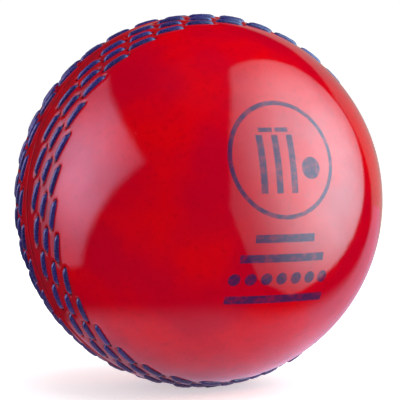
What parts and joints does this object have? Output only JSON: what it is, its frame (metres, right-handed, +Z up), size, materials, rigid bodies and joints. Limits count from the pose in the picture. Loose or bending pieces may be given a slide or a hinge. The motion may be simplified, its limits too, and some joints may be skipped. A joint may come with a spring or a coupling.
{
  "type": "cricket ball",
  "caption": "Hard leather-covered ball with a raised seam of hand stitches in leaning rows around its middle, built on a cork and yarn core.",
  "frame": {"origin": "centre of the ball", "axes": "+Y is the seam's axis, so the closing joint lies in the XZ plane; the front cup faces -Y and the back cup faces +Y; +Z up with the seam standing upright"},
  "size_m": [0.0724, 0.0714, 0.0724],
  "materials": {
    "red_leather": "polished and lacquered",
    "blue_thread": "waxed",
    "cord": "twisted linen",
    "yarn": "tightly wound worsted",
    "cork": "cut cork",
    "cork_rubber": "moulded cork and rubber"
  },
  "bodies": {
    "root": {"cork_nucleus": "cork_rubber", "yarn_winding_1": "yarn", "cork_strips_1": "cork", "yarn_winding_2": "yarn", "cork_strips_2": "cork", "yarn_winding_3": "yarn", "cork_strips_3": "cork", "yarn_winding_4": "yarn", "cork_strips_4": "cork", "yarn_winding_5": "yarn", "seam_lift_cord": "cord", "leather_cup_front": "red_leather", "leather_cup_back": "red_leather", "stitches_inner_front": "blue_thread", "stitches_middle_front": "blue_thread", "stitches_outer_front": "blue_thread", "stitches_inner_back": "blue_thread", "stitches_middle_back": "blue_thread", "stitches_outer_back": "blue_thread"}
  },
  "joints": []
}
